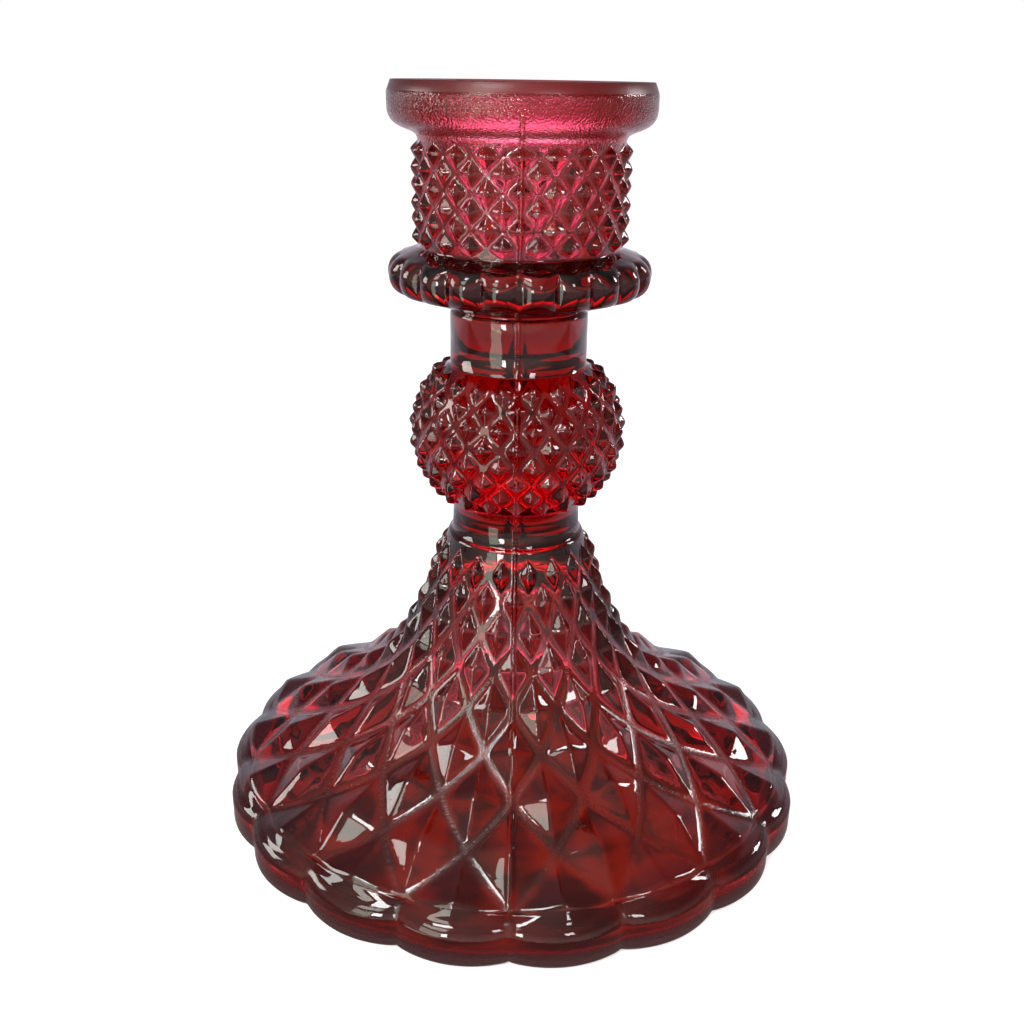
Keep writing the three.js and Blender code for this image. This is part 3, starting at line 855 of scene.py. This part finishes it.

# %% [markdown]
# Mirrored in the glass, the card is a painted glow of its own light and shade: darkest just in front,
# where the camera takes the light away, and whitest behind. Under the left window, a painted glow
# stands for the bright ground outside, as a wedge that widens away from the stick.
# %% The card as the glass mirrors it
FRONT, CAMERA_SHADE, BESIDE, BEHIND = "cec2c5", "817676", "b8bcc8", "f9effd"
FRONT_BAND, CAMERA_SHADE_BAND, BACK_BAND = (-0.22, -0.12), (-0.03, 0.05), (0.12, 0.25)

# Painted light and shade of the card as the glass mirrors it; the deep band just in front is the camera's
# painted shade.
mirrored_card = blend(paper, backwards, FRONT_BAND, hex_colour(FRONT), hex_colour(CAMERA_SHADE))
mirrored_card = blend(paper, backwards, CAMERA_SHADE_BAND, mirrored_card, hex_colour(BESIDE))
mirrored_card = blend(paper, backwards, BACK_BAND, mirrored_card, hex_colour(BEHIND))
mirrored_card_glow = add_node(paper, "ShaderNodeEmission", (mirrored_card, 1.0)).outputs[0]
print("mirrored card made")

# %% A painted glow for the ground outside, under the left window
GROUND_COLOUR, GROUND_BRIGHTNESS = "edffea", 3.0
GROUND_BEARING, GROUND_HALF_WIDTH = math.radians(-38), 0.16
GROUND_START, GROUND_SOFT_EDGE = 0.1, 0.004

towards = (math.sin(GROUND_BEARING), -math.cos(GROUND_BEARING), 0)
sidewards = (math.cos(GROUND_BEARING), math.sin(GROUND_BEARING), 0)
along = add_node(paper, VECTOR_MATH, (on_card, towards), operation="DOT_PRODUCT").outputs["Value"]
to_side = add_node(paper, VECTOR_MATH, (on_card, sidewards), operation="DOT_PRODUCT").outputs["Value"]
across = add_node(paper, MATH, (to_side,), operation="ABSOLUTE").outputs[0]
half_width = add_node(paper, MATH, (along, GROUND_HALF_WIDTH), operation="MULTIPLY").outputs[0]
within = add_node(paper, MATH, (half_width, across), operation="SUBTRACT").outputs[0]
wedge = add_node(paper, MAP_RANGE, (within, 0, GROUND_SOFT_EDGE, 0, GROUND_BRIGHTNESS)).outputs[0]
clear_of_foot = add_node(paper, MATH, (along, GROUND_START), operation="GREATER_THAN").outputs[0]
painted_ground_glow = add_node(paper, MATH, (wedge, clear_of_foot), operation="MULTIPLY").outputs[0]
# The ground is painted as a glow on the card, which the glass mirrors as a bright streak.
ground = add_node(paper, "ShaderNodeEmission", (hex_colour(GROUND_COLOUR), painted_ground_glow)).outputs[0]
print("ground towards", round(math.degrees(GROUND_BEARING)), "degrees")


# %% Which ray sees which card
def bounced_off(tree, rays):
    """1 for a ray that was mirrored by the glass, 0 for one that came through it."""
    not_through = add_node(tree, MATH, (1.0, rays["Is Transmission Ray"]), operation="SUBTRACT").outputs[0]
    return add_node(tree, MATH, (rays["Is Glossy Ray"], not_through), operation="MULTIPLY").outputs[0]


rays = add_node(paper, "ShaderNodeLightPath").outputs
mirrored = add_node(paper, "ShaderNodeAddShader", (mirrored_card_glow, ground)).outputs[0]
shares = (bounced_off(paper, rays), through_glass, mirrored)
in_glass = add_node(paper, "ShaderNodeMixShader", shares).outputs[0]
seen = add_node(paper, "ShaderNodeMixShader", (rays["Is Camera Ray"], in_glass, white)).outputs[0]
add_node(paper, "ShaderNodeOutputMaterial", {"Surface": seen})
print(len(paper.nodes), "nodes in the card")

# %% [markdown]
# ## The room
# Behind the stick the camera sees plain white. The glass sees a bright room. A photograph of one could
# be wrapped round the scene, but a few ramps by direction are enough, and each can be read and
# changed. Each ramp is the two ends of its range and the brightness at each end.
# %% The world and its directions
world = bpy.data.worlds.new("bright_room")
bpy.context.scene.world = world
world.use_nodes = True
room = world.node_tree
room.nodes.clear()
looking = add_node(room, "ShaderNodeTexCoord").outputs["Generated"]
heading = add_node(room, "ShaderNodeSeparateXYZ", (looking,)).outputs
sideways = add_node(room, MATH, (heading["X"], heading["X"]), operation="MULTIPLY").outputs[0]
print("world", world.name)

# %% [markdown]
# Straight behind stands a wall that is dim at the table and very bright above it, and it is what the
# stem's pink lights are made of. The other walls are darker towards the sides and the ceiling.
# %% What shines through the glass
STRAIGHT_BACK = (0.8, 0.97)
BACK_WALL_RISE, BACK_WALL_TOP = (0.06, 0.26, 0.38, 2.9), (0.45, 0.6, 1.0, 0.3)
OTHER_WALLS_RISE, OTHER_WALLS_SIDES = (0.2, 0.7, 1.0, 0.2), (0.3, 0.9, 0.56, 0.18)

straight_back = add_node(room, MAP_RANGE, (heading["Y"], *STRAIGHT_BACK)).outputs[0]
wall_rise = add_node(room, MAP_RANGE, (heading["Z"], *BACK_WALL_RISE)).outputs[0]
wall_top = add_node(room, MAP_RANGE, (heading["Z"], *BACK_WALL_TOP)).outputs[0]
back_wall = add_node(room, MATH, (wall_rise, wall_top), operation="MULTIPLY").outputs[0]
others_rise = add_node(room, MAP_RANGE, (heading["Z"], *OTHER_WALLS_RISE)).outputs[0]
others_sides = add_node(room, MAP_RANGE, (sideways, *OTHER_WALLS_SIDES)).outputs[0]
other_walls = add_node(room, MATH, (others_rise, others_sides), operation="MULTIPLY").outputs[0]
walls_behind = add_node(room, MIX, {0: straight_back, 2: other_walls, 3: back_wall}).outputs[0]
print("back wall up to", BACK_WALL_RISE[3], "times white")

# %% [markdown]
# A clear glass surface mirrors little, and what it mirrors lies over the red as a pale veil. The room
# in front is brighter than behind, it darkens towards the ceiling and the sides, and daylight comes
# from high on the left.
# %% What the glass mirrors
FRONT_TO_BACK, CEILING = (-0.4, 0.4, 0.85, 0.62), (0.12, 0.5, 1.0, 0.28)
SIDE_WALLS = (0.3, 0.8, 1.0, 0.5)
DAYLIGHT_FROM, DAYLIGHT = (-0.47, -0.53, 0.7), (0.45, 0.95, 0.0, 0.36)

front_to_back = add_node(room, MAP_RANGE, (heading["Y"], *FRONT_TO_BACK)).outputs[0]
ceiling = add_node(room, MAP_RANGE, (heading["Z"], *CEILING)).outputs[0]
side_walls = add_node(room, MAP_RANGE, (sideways, *SIDE_WALLS)).outputs[0]
under_ceiling = add_node(room, MATH, (front_to_back, ceiling), operation="MULTIPLY").outputs[0]
walls = add_node(room, MATH, (under_ceiling, side_walls), operation="MULTIPLY").outputs[0]
facing_day = add_node(room, VECTOR_MATH, (looking, DAYLIGHT_FROM), operation="DOT_PRODUCT").outputs["Value"]
daylight = add_node(room, MAP_RANGE, (facing_day, *DAYLIGHT)).outputs[0]
mirrored_room = add_node(room, MATH, (walls, daylight), operation="ADD").outputs[0]
print("daylight from", DAYLIGHT_FROM)

# %% [markdown]
# The glass turns all light red, and the room's tints only shift that red: the wall straight behind makes
# it pink, and the warm rest of the room makes it orange. Mirrored light keeps its own tint.
# %% The colours of the room
WARM_ROOM, PINK_WHITE = hex_colour("ffe7bc"), hex_colour("e1b2ff", 1.4)
FRONT_ROOM, COOL_WALL = hex_colour("fffdf6"), hex_colour("f6f0ff", 1.06)
FRONT_TO_COOL = (-0.2, 0.5)

tint_through = add_node(
    room, MIX, {0: straight_back, 6: WARM_ROOM, 7: PINK_WHITE}, data_type="RGBA",
).outputs[2]
tint_mirrored = blend(room, heading["Y"], FRONT_TO_COOL, FRONT_ROOM, COOL_WALL)
print("warm room", [round(v, 2) for v in WARM_ROOM[:3]])

# %% [markdown]
# Three kinds of ray see three rooms: the camera plain white, rays through the glass the walls behind,
# and mirrored rays the room in front. Any other ray, such as one from the card, meets an even light.
# %% Which ray sees which room
EVEN_LIGHT = 0.62

rays = add_node(room, "ShaderNodeLightPath").outputs
strength = add_node(
    room, MIX, {0: rays["Is Transmission Ray"], 2: EVEN_LIGHT, 3: walls_behind},
).outputs[0]
strength = add_node(room, MIX, {0: bounced_off(room, rays), 2: strength, 3: mirrored_room}).outputs[0]
strength = add_node(room, MIX, {0: rays["Is Camera Ray"], 2: strength, 3: 1.0}).outputs[0]
tint = add_node(
    room, MIX, {0: rays["Is Transmission Ray"], 6: tint_mirrored, 7: tint_through}, data_type="RGBA",
).outputs[2]
tint = add_node(
    room, MIX, {0: rays["Is Camera Ray"], 6: tint, 7: hex_colour("ffffff")}, data_type="RGBA",
).outputs[2]
sky = add_node(room, "ShaderNodeBackground", (tint, strength)).outputs[0]
add_node(room, "ShaderNodeOutputWorld", {"Surface": sky})
print(len(room.nodes), "nodes in the room")

# %% [markdown]
# ## The windows
# The sharp white lights on the lobes and facets are windows of the room, mirrored. They could be drawn
# in the world's ramps too, but area lamps are sampled better and come out crisp. They are hidden from
# rays that go through the glass, because the photo shows them only where the glass mirrors them.
# %% Lamps that show in the glass as windows
# Name, bearing from the front to the right, rise, width, height, radiance and tint. Angles are in
# degrees and sizes in metres.
WINDOWS = [
    ("window_left_high", -38, 58, 0.2, 0.18, 20, "ffffff"),
    ("window_left_middle", -38, 38, 0.3, 0.26, 6, "f8fff2"),
    ("window_pane", -24, 10, 0.12, 0.22, 24, "ffffff"),
    ("window_left_low", -38, 10, 0.28, 0.34, 3.5, "effbe6"),
    ("window_side", -95, 18, 0.36, 0.3, 8, "fcfff8"),
    ("window_right", 24, 32, 0.12, 0.2, 14, "ffffff"),
    ("window_far", 112, 22, 0.14, 0.24, 16, "ffffff"),
]
WINDOW_DISTANCE, AIM_HEIGHT = 0.9, 0.06

for name, bearing, rise, width, tall, radiance, colour in WINDOWS:
    side, tilt = math.radians(bearing), math.radians(rise)
    outward = Vector((math.sin(side) * math.cos(tilt), -math.cos(side) * math.cos(tilt), math.sin(tilt)))
    lamp = bpy.data.lights.new(name, "AREA")
    lamp.shape = "RECTANGLE"
    lamp.size = width
    lamp.size_y = tall
    lamp.energy = radiance * width * tall * math.pi
    lamp.color = hex_colour(colour)[:3]
    pane = bpy.data.objects.new(name, lamp)
    pane.location = Vector((0, 0, AIM_HEIGHT)) + WINDOW_DISTANCE * outward
    pane.rotation_euler = (-outward).to_track_quat("-Z", "Y").to_euler()
    pane.visible_transmission = False
    bpy.context.scene.collection.objects.link(pane)
    print(name, round(lamp.energy, 2), "W")
